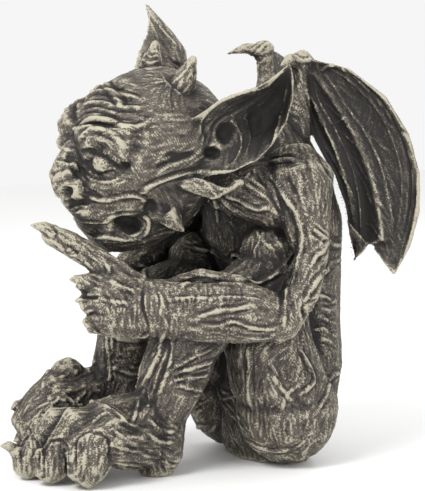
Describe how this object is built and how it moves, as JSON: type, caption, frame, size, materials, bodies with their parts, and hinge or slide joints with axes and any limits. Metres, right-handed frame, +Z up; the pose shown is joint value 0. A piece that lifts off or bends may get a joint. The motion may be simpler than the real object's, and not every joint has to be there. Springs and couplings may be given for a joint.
{
  "type": "gargoyle statue",
  "caption": "Seated winged gargoyle with large ears, drawn-up knees and clawed feet, finger pointing at its mouth, cast with a dry-brushed stone finish.",
  "frame": {"origin": "on the ground, under the middle of the statue's box", "axes": "+X towards the figure's left, -Y towards its front, +Z up"},
  "size_m": [0.2542, 0.3386, 0.395],
  "materials": {
    "cast_resin": "charcoal brown cast resin made to look like weathered stone, dry-brushed pale olive and beige on every ridge"
  },
  "bodies": {
    "root": {"gargoyle": "cast_resin"}
  },
  "joints": []
}
